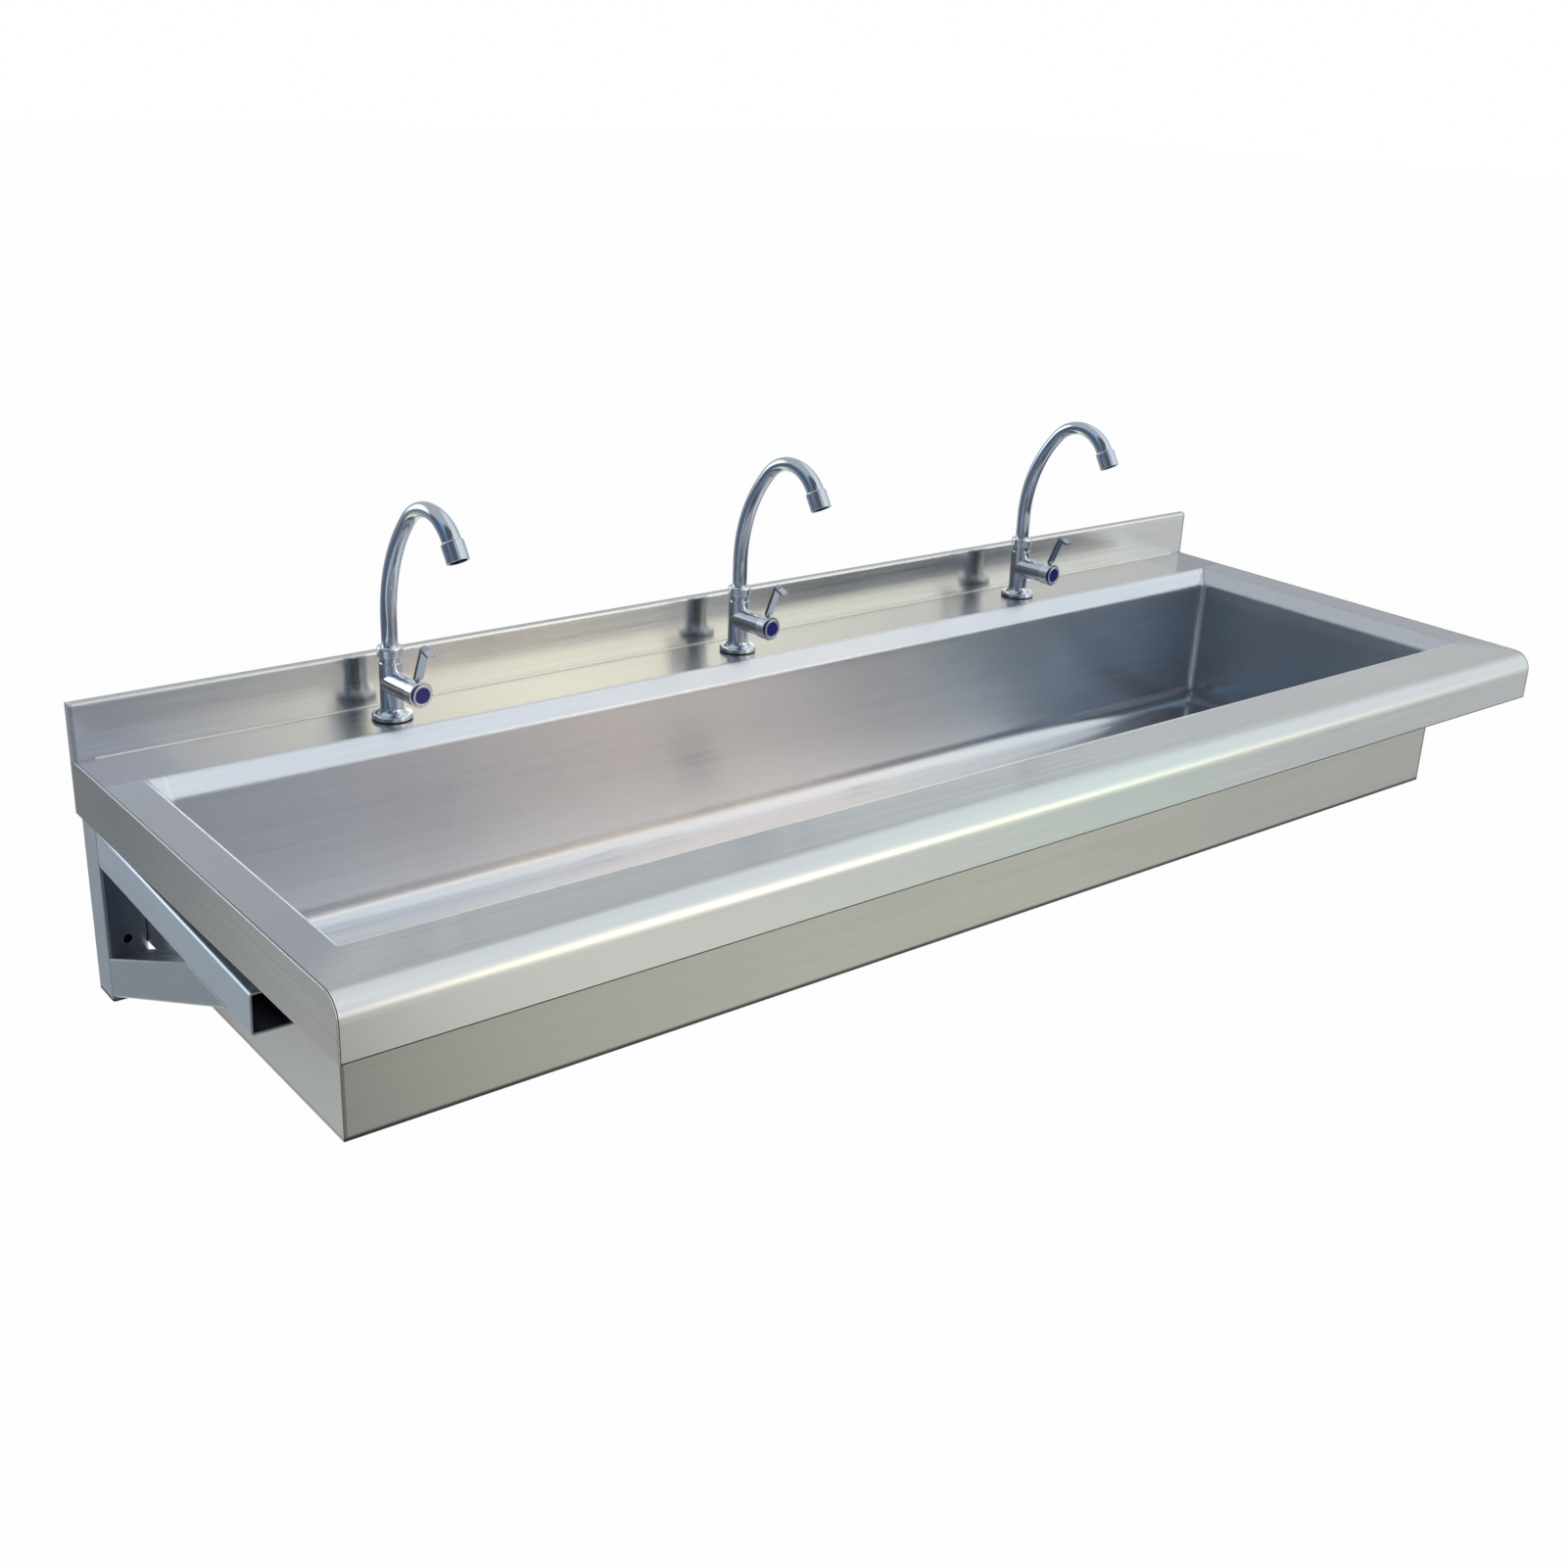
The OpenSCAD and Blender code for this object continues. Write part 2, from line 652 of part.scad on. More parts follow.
module tap_knob(i) color(chrome) at_tap(i) at_valve() difference() {
    translate([0, 0, branch_l + knob_gap]) cylinder(d = knob_d, h = knob_l);
    difference() {
        translate([0, 0, branch_l + knob_gap - over])
            cylinder(d = knob_hollow_d, h = knob_l - knob_web + over);
        translate([0, 0, knob_front - knob_web - knob_boss_l])
            cylinder(d = knob_boss_d, h = knob_boss_l + over);
    }
    translate([0, 0, branch_l]) cylinder(d = spindle_d + 2 * thread, h = knob_l);
    translate([0, 0, knob_front - cap_seat]) cylinder(d = cap_d + 2 * slide, h = cap_seat + over);
    at_lever() translate([0, 0, lever_seat / 2]) cylinder(d = stud_d + 2 * thread, h = knob_d);
}

// Frame of the lever: +Z runs up the lever from the valve's axis, -Y to the front
module at_lever() translate([0, 0, knob_front - lever_foot - knob_d / 2 * tan(lever_lean)])
    rotate([lever_lean - 90, 0, 0]) children();

module tap_lever(i) color(chrome) at_tap(i) at_valve() {
    blade = lever_seat + stem_l / 2;
    difference() {
        at_lever() translate([0, 0, lever_seat / 2]) cylinder(d = stem_d, h = lever_seat / 2 + stem_l);
        translate([0, 0, branch_l]) cylinder(d = knob_d, h = knob_l + knob_d);
    }
    at_lever() {
        translate([0, 0, lever_seat - stud_in]) cylinder(d = stud_d, h = stem_l);
        translate([-lever_w / 2, -lever_t / 2, blade])
            cube([lever_w, lever_t, lever_l - lever_w / 2 - blade]);
        translate([0, lever_t / 2, lever_l - lever_w / 2])
            rotate([90, 0, 0]) cylinder(d = lever_w, h = lever_t);
        translate([-lever_w / 2, -tip_l, lever_l - tip_down - tip_t]) cube([lever_w, tip_l, tip_t]);
    }
}

module tap_index_cap(i) color(blue) at_tap(i) at_valve()
    translate([0, 0, knob_front - cap_seat]) rotate_extrude() {
        square([cap_d / 2, cap_seat + cap_proud - cap_round]);
        square([cap_d / 2 - cap_round, cap_seat + cap_proud]);
        translate([cap_d / 2 - cap_round, cap_seat + cap_proud - cap_round]) circle(r = cap_round);
    }

// The three taps' pieces by name

module left_tap_gasket() tap_gasket(0);
module left_tap_body() tap_body(0);
module left_tap_shank() tap_shank(0);
module left_tap_backnut() tap_backnut(0);
module left_tap_collar() tap_collar(0);
module left_tap_spout() tap_spout(0);
module left_tap_aerator() tap_aerator(0);
module left_tap_cartridge() tap_cartridge(0);
module left_tap_spindle() tap_spindle(0);
module left_tap_knob() tap_knob(0);
module left_tap_lever() tap_lever(0);
module left_tap_index_cap() tap_index_cap(0);

module middle_tap_gasket() tap_gasket(1);
module middle_tap_body() tap_body(1);
module middle_tap_shank() tap_shank(1);
module middle_tap_backnut() tap_backnut(1);
module middle_tap_collar() tap_collar(1);
module middle_tap_spout() tap_spout(1);
module middle_tap_aerator() tap_aerator(1);
module middle_tap_cartridge() tap_cartridge(1);
module middle_tap_spindle() tap_spindle(1);
module middle_tap_knob() tap_knob(1);
module middle_tap_lever() tap_lever(1);
module middle_tap_index_cap() tap_index_cap(1);

module right_tap_gasket() tap_gasket(2);
module right_tap_body() tap_body(2);
module right_tap_shank() tap_shank(2);
module right_tap_backnut() tap_backnut(2);
module right_tap_collar() tap_collar(2);
module right_tap_spout() tap_spout(2);
module right_tap_aerator() tap_aerator(2);
module right_tap_cartridge() tap_cartridge(2);
module right_tap_spindle() tap_spindle(2);
module right_tap_knob() tap_knob(2);
module right_tap_lever() tap_lever(2);
module right_tap_index_cap() tap_index_cap(2);

deck();
backsplash();
left_end_plate();
right_end_plate();
bowl();
bowl_casing();
left_leg();
left_arm();
left_brace();
left_leg_cap();
right_leg();
right_arm();
right_brace();
right_leg_cap();
waste_flange();
waste_grid();
waste_screw();
waste_gasket();
waste_washer();
waste_locknut();
left_tap_gasket();
left_tap_body();
left_tap_shank();
left_tap_backnut();
left_tap_collar();
left_tap_spout();
left_tap_aerator();
left_tap_cartridge();
left_tap_spindle();
left_tap_knob();
left_tap_lever();
left_tap_index_cap();
middle_tap_gasket();
middle_tap_body();
middle_tap_shank();
middle_tap_backnut();
middle_tap_collar();
middle_tap_spout();
middle_tap_aerator();
middle_tap_cartridge();
middle_tap_spindle();
middle_tap_knob();
middle_tap_lever();
middle_tap_index_cap();
right_tap_gasket();
right_tap_body();
right_tap_shank();
right_tap_backnut();
right_tap_collar();
right_tap_spout();
right_tap_aerator();
right_tap_cartridge();
right_tap_spindle();
right_tap_knob();
right_tap_lever();
right_tap_index_cap();
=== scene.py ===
# %% [markdown]
# # A stainless trough sink with three swan-neck taps
#
# The sink is a long folded-sheet basin that hangs on two brackets of square tube. Its shapes come ready
# from the packed CAD model. This lesson gives them their finish: satin steel, polished chrome, navy
# plastic, rubber and brass. It also makes seven small shapes of its own: the spouts with their swaged
# ends, the trim rings on the index caps and the bead behind the taps. All sizes are in metres, in the
# CAD's own frame: +X runs along the sink to the right, -Y points to the user, and +Z is up.

# %% Load the frame
import math

import bmesh
import bpy
from mathutils import Matrix, Vector


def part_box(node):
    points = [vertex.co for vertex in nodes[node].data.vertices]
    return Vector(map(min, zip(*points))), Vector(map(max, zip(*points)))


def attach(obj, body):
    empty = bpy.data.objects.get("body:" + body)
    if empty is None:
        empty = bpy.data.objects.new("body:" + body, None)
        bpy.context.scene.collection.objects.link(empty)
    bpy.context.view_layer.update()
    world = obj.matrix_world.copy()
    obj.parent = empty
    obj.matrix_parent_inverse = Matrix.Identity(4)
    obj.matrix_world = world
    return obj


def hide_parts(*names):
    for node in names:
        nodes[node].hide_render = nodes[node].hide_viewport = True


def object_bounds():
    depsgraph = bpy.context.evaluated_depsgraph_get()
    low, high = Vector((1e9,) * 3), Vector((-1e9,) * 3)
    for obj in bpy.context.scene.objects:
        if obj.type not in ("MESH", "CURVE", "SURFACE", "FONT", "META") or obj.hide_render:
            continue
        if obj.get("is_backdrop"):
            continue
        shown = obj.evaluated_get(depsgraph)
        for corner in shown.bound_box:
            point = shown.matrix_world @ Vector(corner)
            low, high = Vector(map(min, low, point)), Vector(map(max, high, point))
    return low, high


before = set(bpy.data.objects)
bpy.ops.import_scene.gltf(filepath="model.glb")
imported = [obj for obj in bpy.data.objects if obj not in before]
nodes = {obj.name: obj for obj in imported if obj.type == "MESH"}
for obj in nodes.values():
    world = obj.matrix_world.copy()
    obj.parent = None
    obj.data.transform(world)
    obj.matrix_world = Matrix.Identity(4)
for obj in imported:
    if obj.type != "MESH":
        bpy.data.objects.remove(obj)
cad_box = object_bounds()
MM = 0.001
print("pieces in the frame:", len(nodes))
print("whole sink, mm:", [round(v / MM) for v in cad_box[1] - cad_box[0]])

# %% [markdown]
# ## Camera
#
# The photograph was taken from the front left, a little above the deck. A photographer levels a camera
# only roughly, so the view keeps its small roll. The camera's place and angles were found by matching
# the sink's straight edges, and the long focus keeps the far end from shrinking too much.

# %% Place the camera
PHOTO_SIZE = 1601
FOCUS_PIXELS = 1876.9
FILM_WIDTH = 36                   # mm
CAMERA_PLACE = Vector((-1.4598, -1.9163, 0.9131))
CAMERA_HEADING, CAMERA_DIP, CAMERA_ROLL = 0.6810, 0.3802, -0.0434      # radians


def camera_turn(heading, dip, roll):
    """Turn of a camera that looks along heading (from +Y to the right), dipped and rolled."""
    level = math.cos(dip)
    ahead = Vector((math.sin(heading) * level, math.cos(heading) * level, -math.sin(dip)))
    right = Vector((math.cos(heading), -math.sin(heading), 0))
    down = ahead.cross(right)
    rolled_right = right * math.cos(roll) + down * math.sin(roll)
    rolled_down = down * math.cos(roll) - right * math.sin(roll)
    return Matrix((rolled_right, -rolled_down, -ahead)).transposed().to_4x4()


lens = bpy.data.cameras.new("camera")
lens.sensor_width = FILM_WIDTH
lens.lens = lens.sensor_width * FOCUS_PIXELS / PHOTO_SIZE
camera = bpy.data.objects.new("camera", lens)
bpy.context.scene.collection.objects.link(camera)
turn = camera_turn(CAMERA_HEADING, CAMERA_DIP, CAMERA_ROLL)
camera.matrix_world = Matrix.Translation(CAMERA_PLACE) @ turn
bpy.context.scene.camera = camera
print("focal length, mm:", round(lens.lens, 2))

# %% [markdown]
# ## Reckoning with sockets
#
# A finish is a small sum: a grain times a strength, one minus a mask, and so on. Blender writes such a
# sum as a chain of Math nodes, which is slow to read in code. Here one small class stands for a socket
# and knows the operators, so the sum can be written as it is thought, and it adds the nodes itself.

# %% A socket that can be reckoned with
class Wire:
    """One output of a node. An operator on it adds a Math node and gives that node's output."""

    def __init__(self, bench, socket):
        self.bench, self.socket = bench, socket

    def math(self, operation, *values):
        return self.bench.add("ShaderNodeMath", {"operation": operation}, dict(enumerate(values)))

    def __add__(self, other): return self.math("ADD", self, other)
    def __radd__(self, other): return self.math("ADD", other, self)
    def __sub__(self, other): return self.math("SUBTRACT", self, other)
    def __rsub__(self, other): return self.math("SUBTRACT", other, self)
    def __mul__(self, other): return self.math("MULTIPLY", self, other)
    def __rmul__(self, other): return self.math("MULTIPLY", other, self)
    def __abs__(self): return self.math("ABSOLUTE", self)

    def step(self, low, high):
        """0 below low, 1 above high, smooth between."""
        settings = {"interpolation_type": "SMOOTHSTEP"}
        return self.bench.add("ShaderNodeMapRange", settings, {0: self, 1: low, 2: high})

    def bump_at(self, middle, width):
        """1 at middle, 0 further than width from it."""
        return 1 - abs(self - middle).step(0, width)


class Bench:
    """A node tree that is being built. add() makes any node: its settings first, then its sockets."""

    def __init__(self, tree):
        self.tree = tree
        tree.nodes.clear()

    def add(self, kind, settings=None, sockets=None, output=0):
        node = self.tree.nodes.new(kind)
        for name, value in (settings or {}).items():
            setattr(node, name, value)
        for name, value in (sockets or {}).items():
            if isinstance(value, Wire):
                self.tree.links.new(value.socket, node.inputs[name])
            else:
                node.inputs[name].default_value = value
        return Wire(self, node.outputs[output]) if node.outputs else None

    def outlet(self, wire, name):
        """Another output of the node that a wire comes from."""
        return Wire(self, wire.socket.node.outputs[name])

    def mix(self, amount, first, second, how="MIX"):
        """Two colours mixed. Numbers given as colours get their alpha."""
        first, second = ((*c, 1) if isinstance(c, tuple) else c for c in (first, second))
        settings = {"data_type": "RGBA", "blend_type": how}
        return self.add("ShaderNodeMix", settings, {0: amount, 6: first, 7: second}, output=2)

    def tint(self, colour, where, share_and_tint):
        """A colour with a share of a tint laid over it, where a mask is 1."""
        share, tint = share_and_tint
        return self.mix(share * where, colour, tint)

    def surface(self, sockets):
        """Ends a material with one Principled shader."""
        self.add("ShaderNodeOutputMaterial", {}, {0: self.add("ShaderNodeBsdfPrincipled", {}, sockets)})


def new_material(name):
    """An empty material and the bench to build it on."""
    material = bpy.data.materials.new(name)
    material.use_nodes = True
    return material, Bench(material.node_tree)


print("operators ready:", [name for name in vars(Wire) if name.startswith("__")][1:])

# %% [markdown]
# ## Studio
#
# Polished metal has no colour of its own: it shows the room, and each face of the sink mirrors another
# part of it. The room itself can't be seen, so this one is a guess that was fitted: soft patches of light
# and shade, each round one direction, set so that each face mirrors about the tone that it has in the
# photograph. It comes out warm and bright to the front right, dark blue on the left and dim below. The
# camera itself sees plain white.

# %% Light the room
ROOM_TONE = (0.50, 0.525, 0.55)
WHITE = (1, 1, 1, 1)
PATCHES = [  # where, direction, inner and outer edge of the patch in degrees, colour
    ("ground", (-0.42, -0.10, -0.90), 61, 88, (1.02, 1.06, 0.92)),
    ("low behind", (-0.36, 0.90, -0.23), 4, 39, (0.29, 0.31, 0.32)),
    ("straight below", (-0.16, -0.25, -0.95), 41, 55, (0.13, 0.13, 0.16)),
    ("high front right", (0.59, -0.66, 0.46), 20, 38, (2.26, 2.16, 1.71)),
    ("high right", (0.78, -0.17, 0.61), 35, 49, (0.81, 0.87, 0.92)),
    ("left", (-0.94, -0.26, 0.20), 16, 41, (0.12, 0.21, 0.28)),
    ("left, wider", (-0.96, -0.04, 0.26), 26, 40, (0.24, 0.45, 0.65)),
    ("high front left", (-0.48, -0.74, 0.47), 33, 47, (0.11, 0.12, 0.14)),
    ("left behind", (-0.94, 0.32, -0.08), 26, 40, (0.11, 0.14, 0.21)),
    ("low front left", (-0.54, -0.74, -0.39), 45, 59, (0.12, 0.12, 0.125)),
    ("right", (0.92, 0.26, 0.30), 2, 30, (0.526, 0.536, 0.536)),
    ("bright strip behind", (-0.45, 0.85, 0.26), 8, 22, (1.70, 1.95, 2.20)),
    ("high front", (0.02, -0.93, 0.37), 16, 30, (0.495, 0.556, 0.703)),
    ("low front", (-0.16, -0.76, -0.63), 10, 33, (0.13, 0.13, 0.14)),
]


def make_room(world):
    world.use_nodes = True
    room = Bench(world.node_tree)
    way = room.add("ShaderNodeTexCoord")
    tone = ROOM_TONE
    for _, direction, inner, outer, colour in PATCHES:
        nearness = room.add("ShaderNodeVectorMath", {"operation": "DOT_PRODUCT"},
                            {0: way, 1: Vector(direction).normalized()}, output=1)
        edges = [math.cos(math.radians(angle)) for angle in (outer, inner)]
        tone = room.mix(nearness.step(*edges), tone, colour)
    lit = room.add("ShaderNodeBackground", {}, {"Color": tone, "Strength": 1.0})
    plain = room.add("ShaderNodeBackground", {}, {"Color": WHITE, "Strength": 1.0})
    eye = room.add("ShaderNodeLightPath")
    shown = room.add("ShaderNodeMixShader", {}, {0: eye, 1: lit, 2: plain})
    room.add("ShaderNodeOutputWorld", {}, {0: shown})


bpy.context.scene.world = bpy.data.worlds.new("room")
make_room(bpy.context.scene.world)
bpy.context.scene.view_settings.view_transform = "Standard"
print("room with patches:", [patch[0] for patch in PATCHES])

# %% [markdown]
# ## Lamps
#
# The room lights the metal, which doesn't see the lamps. Two large soft boxes help the plastic, the
# rubber and the floor: the key hangs in front and to the right, and the fill is wide and weak.

# %% Hang the lamps
def soft_box(name, place, target, size, watts, colour):
    light = bpy.data.lights.new(name, "AREA")
    light.shape, light.size, light.size_y = "RECTANGLE", size[0], size[1]
    light.energy, light.color = watts, colour
    lamp = bpy.data.objects.new(name, light)
    bpy.context.scene.collection.objects.link(lamp)
    lamp.location = place
    lamp.visible_glossy = False
    lamp.rotation_euler = (Vector(target) - Vector(place)).to_track_quat("-Z", "Y").to_euler()


soft_box("key", (1.6, -1.6, 2.2), (0.2, -0.3, 0.1), (1.6, 1.2), 9, (1.0, 1.0, 0.97))
soft_box("fill", (-1.8, -2.4, 1.2), (0.0, -0.3, 0.1), (2.2, 1.4), 3, (0.95, 0.98, 1.0))

# %% [markdown]
# ## Floor
#
# The sink hangs at working height, so the floor lies well below it. It is pale, and most of its white is
# given to the camera directly, so only a trace of the sink's shadow is left. The metal looks through it
# at the room, which has the ground's tone already.

# %% Lay the floor
DECK_HEIGHT = 0.85                # deck above the floor
WHITE_SHARE = 0.97                # what the camera gets as plain white
FLOOR_SIZE = 60
deck_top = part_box("deck")[1].z
floor_level = deck_top - DECK_HEIGHT


def pale_floor():
    material, paint = new_material("floor_paint")
    grain = paint.add("ShaderNodeTexNoise", {}, {"Scale": 3.0, "Detail": 2.0})
    colour = paint.mix(grain, (0.80, 0.80, 0.79), (0.84, 0.84, 0.83))
    lit = paint.add("ShaderNodeBsdfPrincipled", {}, {"Base Color": colour, "Roughness": 0.8})
    plain = paint.add("ShaderNodeEmission", {}, {"Color": WHITE, "Strength": 1.0})
    clear = paint.add("ShaderNodeBsdfTransparent")
    eye = paint.add("ShaderNodeLightPath")
    glossy = paint.outlet(eye, "Is Glossy Ray")
    shown = paint.add("ShaderNodeMixShader", {}, {0: eye * WHITE_SHARE, 1: lit, 2: plain})
    shown = paint.add("ShaderNodeMixShader", {}, {0: glossy, 1: shown, 2: clear})
    paint.add("ShaderNodeOutputMaterial", {}, {0: shown})
    return material


bpy.ops.mesh.primitive_plane_add(size=FLOOR_SIZE, location=(0, 0, floor_level))
floor = bpy.context.active_object
floor.name = "floor"
floor.data.materials.append(pale_floor())
floor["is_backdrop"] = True
print("floor at, m:", round(floor_level, 3))

# %% [markdown]
# ## Satin steel
#
# The sheet is brushed at the mill: thousands of fine scratches run one way. Seen from a step away they
# only soften the mirror image, and from close by they show as a grain. So the grain is a noise drawn
# out along the brushing, and it drives a weak bump and a little of the roughness. A coarser copy of the
# noise gives the long faint streaks that the belt leaves, and a wide soft cloud stands for rolling and
# handling. Scratches spread the light across them and hardly along them, so the shader is anisotropic
# and a mirrored tap becomes an upright streak. Folded edges are never knife sharp, and the Bevel node
# rounds them in the shading without touching the CAD's faces.

# %% Make satin steel
FINE_GRAIN, STREAKS = (14.0, 1500.0), (2.5, 160.0)    # waves per metre along and across the brushing
CLOUD_WAVES, CLOUD_DARK, CLOUD_PALE = 4.0, 0.95, 1.04
GRAIN_DARKENS, STREAKS_DARKEN = 0.10, 0.14
GRAIN_ROUGH, STREAKS_ROUGH, CLOUD_ROUGH = 0.06, 0.10, 0.05
SCRATCH_DEPTH, SCRATCH_SHARE = 0.05 * MM, 0.12
ACROSS, QUARTER = 0.8, 0.25      # mirror images are drawn out across the brushing, a quarter turn on
FOLD, SMALL_EDGE = 1.5 * MM, 0.6 * MM                 # radii of the rounded edges
BEVEL_RAYS = {"samples": 4}


def place_on(bench):
    """The point on the object, in metres, and its three parts."""
    place = bench.add("ShaderNodeTexCoord", {}, {}, output=3)
    split = bench.add("ShaderNodeSeparateXYZ", {}, {0: place})
    return place, [Wire(bench, split.socket.node.outputs[k]) for k in range(3)]


def brushed(bench, place, along, waves=FINE_GRAIN):
    """Scratches that run along one axis: 0 to 1."""
    scale = [waves[1]] * 3
    scale[along] = waves[0]
    stretched = bench.add("ShaderNodeMapping", {}, {"Vector": place, "Scale": scale})
    return bench.add("ShaderNodeTexNoise", {}, {"Vector": stretched, "Scale": 1.0, "Detail": 3.0})


def satin_steel(name, tint, roughness, along, shade=None, fold=FOLD):
    """Brushed sheet. shade(bench, x, y, z, colour) may vary the colour over the piece, with real marks and
    with painted light and shade.
    """
    material, bench = new_material(name)
    place, (x, y, z) = place_on(bench)
    grain = brushed(bench, place, along)
    cloud = bench.add("ShaderNodeTexNoise", {}, {"Vector": place, "Scale": CLOUD_WAVES, "Detail": 2.0})
    colour = bench.mix(cloud, tuple(CLOUD_DARK * c for c in tint), tuple(CLOUD_PALE * c for c in tint))
    streak = brushed(bench, place, along, STREAKS)
    colour = bench.mix(GRAIN_DARKENS, colour, grain, "MULTIPLY")
    colour = bench.mix(STREAKS_DARKEN, colour, streak, "MULTIPLY")
    if shade:
        colour = shade(bench, x, y, z, colour)
    rough = roughness + GRAIN_ROUGH * (grain - 0.5)
    rough = rough + STREAKS_ROUGH * (streak - 0.5) + CLOUD_ROUGH * (cloud - 0.5)
    edge = bench.add("ShaderNodeBevel", BEVEL_RAYS, {"Radius": fold})
    bump = bench.add("ShaderNodeBump", {}, {"Strength": SCRATCH_SHARE, "Distance": SCRATCH_DEPTH,
                                            "Height": grain, "Normal": edge})
    bench.surface({"Base Color": colour, "Metallic": 1.0, "Roughness": rough, "Normal": bump,
                   "Anisotropic": ACROSS, "Anisotropic Rotation": QUARTER})
    return material


def wear(material, *names):
    """Gives a finish to CAD pieces by name."""
    for name in names:
        for held in nodes[name].material_slots:
            held.material = material
    print(material.name, "on", len(names), "pieces")


LONG_WAY, DEEP_WAY, UP_WAY = 0, 1, 2
print("finishes ready")

# %% [markdown]
# ## Seams, folds and painted reflections of the deck
#
# The deck is one long sheet. Each end is closed by a plate whose edge meets the rolled front in a fine
# dark seam, and the apron's lower edge gets a thin near-black line of painted shade. The side rims are
# brushed the other way and are welded to the front rim along a mitre, which was ground flat and shows as a
# pale line. Faint tints on the ledge, the front and the side rims are painted reflections: they imitate
# what the real sheet mirrors there. They stay where they are when the view changes.

# %% Finish the deck
deck_low, deck_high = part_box("deck")
deck_end, deck_front, apron_foot = deck_high.x, deck_low.y, deck_low.z
SEAM, APRON_SHADE_LINE, MITRE_LINE = 1.1 * MM, 0.8 * MM, 2.2 * MM
SIDE_RIM, FRONT_RIM, LEDGE = 90 * MM, 90 * MM, 97 * MM
NOSING = (10 * MM, 50 * MM)       # the front's painted reflection fades from the first to the second, from the front
GREEN_REFLECTION_SPAN = (0.05, 0.45)         # painted green reflection: middle and half width, along the sink
LEDGE_REFLECTION_TINT = 0.8, (0.56, 0.54, 0.53)                  # each painted tint: its share, its colour
FRONT_REFLECTION_TINT = 0.4, (0.72, 0.71, 0.68)
GREEN_REFLECTION_TINT = 0.4, (0.74, 0.88, 0.78)
SIDE_REFLECTION_TINT = 0.6, (0.48, 0.50, 0.57)
MITRE_TINT = 0.25, (0.90, 0.91, 0.92)
NEAR_BLACK = (0.05, 0.05, 0.05)


def deck_marks_and_painted_light(bench, x, y, z, colour):
    out = abs(x)
    seam = out.step(deck_end - SEAM, deck_end - 0.6 * SEAM)
    # painted shade: a near-black line along the apron's lower edge
    apron_shade = 1 - z.step(apron_foot + APRON_SHADE_LINE, apron_foot + 2 * APRON_SHADE_LINE)
    ledge = y.step(-LEDGE - 2 * MM, -LEDGE)
    front = 1 - y.step(deck_front + NOSING[0], deck_front + NOSING[1])
    into_side = out - (deck_end - SIDE_RIM) + (y - (deck_front + FRONT_RIM))
    near_end = out.step(deck_end - 1.2 * SIDE_RIM, deck_end - 0.8 * SIDE_RIM)
    side = into_side.step(0, 0.9 * SIDE_RIM) * near_end
    mitre = into_side.bump_at(0, MITRE_LINE) * out.step(deck_end - SIDE_RIM, deck_end - 0.98 * SIDE_RIM)
    mitre = mitre * (1 - y.step(deck_front + FRONT_RIM, deck_front + 1.02 * FRONT_RIM))
    # painted reflections on the ledge, the front, a green cast in the front's middle and the side rims
    colour = bench.tint(colour, ledge, LEDGE_REFLECTION_TINT)
    colour = bench.tint(colour, front, FRONT_REFLECTION_TINT)
    colour = bench.tint(colour, front * x.bump_at(*GREEN_REFLECTION_SPAN), GREEN_REFLECTION_TINT)
    colour = bench.tint(colour, side, SIDE_REFLECTION_TINT)
    colour = bench.tint(colour, mitre, MITRE_TINT)
    # the end seams are dark joints and the apron's line is painted shade, both near black
    return bench.mix(abs(seam + apron_shade - seam * apron_shade), colour, NEAR_BLACK)


wear(satin_steel("deck_steel", (0.93, 0.94, 0.94), 0.24, LONG_WAY, deck_marks_and_painted_light), "deck")

# %% [markdown]
# ## Upstand, ends, bowl and casing
#
# The other sheets are lighter and darker copies of the deck's steel, with painted light and shade: the
# upstand is the brightest, and the casing, a second skin under the bowl, is the roughest and the darkest,
# painted shade under the deck. The end plates are brushed front to back. The bowl shows paler welds in
# its upright corners, and the casing's hem gets a dark band of painted shade. The photograph's wide soft
# tones, such as the bowl's pink and green sheen and the darker ends, are painted reflections and painted
# shade laid on as faint tints: they imitate what the real sheet mirrors, and they stay where they are
# when the view changes.

# %% Finish the other sheets
splash_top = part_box("backsplash")[1].z
bowl_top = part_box("bowl")[1].z
casing_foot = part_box("bowl_casing")[0].z
HEM_SHADE_HEIGHT, CORNER_LINE, WIDE_FOLD = 6 * MM, 3.0 * MM, 5 * MM
CASING_FRONT, CASING_END = -0.539, deck_end - 50 * MM       # just inside the casing's end
BOWL_CORNER_X, BOWL_CORNER_Y = 0.835, -0.112                # the bowl's upright corners behind
SIDE_WALL = (0.80, 0.82)          # from the middle, where the bowl's side walls begin
PINK_SHEEN, GREEN_SHEEN = (-0.02, 0.62), (0.25, 0.35)       # painted sheen: middle and half width, along the sink
DARK_END = (0.66, 0.84)           # painted shade: the rear wall darkens from the first to the second
WALLWARDS = (-0.62, -0.10)        # painted shade: the end plates darken from the first to the second
REAR_REFLECTION_TINT = 0.7, (0.77, 0.75, 0.76)                         # each tint, painted light or a real mark: its share, its colour
REAR_GREEN_REFLECTION = 0.5, (0.86, 0.93, 0.84)
REAR_CORNER_SHADE = 0.6, (0.40, 0.42, 0.44)
SIDE_WALL_REFLECTION_TINT = 0.8, (0.60, 0.67, 0.74)
PINK_REFLECTION_TINT = 1, (1.00, 0.91, 0.86)
WELD_TINT = 0.4, (0.92, 0.95, 0.98)
END_SHADE_TINT = 1, (0.40, 0.41, 0.42)
END_TOP_REFLECTION_TINT = 0.6, (0.70, 0.72, 0.75)
SPLASH_TOP_REFLECTION_TINT = 0.6, (0.66, 0.68, 0.70)
CASING_END_REFLECTION_TINT = 0.9, (0.97, 0.94, 0.90)
HEM_SHADE_TINT, CASING_SEAM_TINT = (0.9, NEAR_BLACK), (0.7, (0.10, 0.10, 0.10))


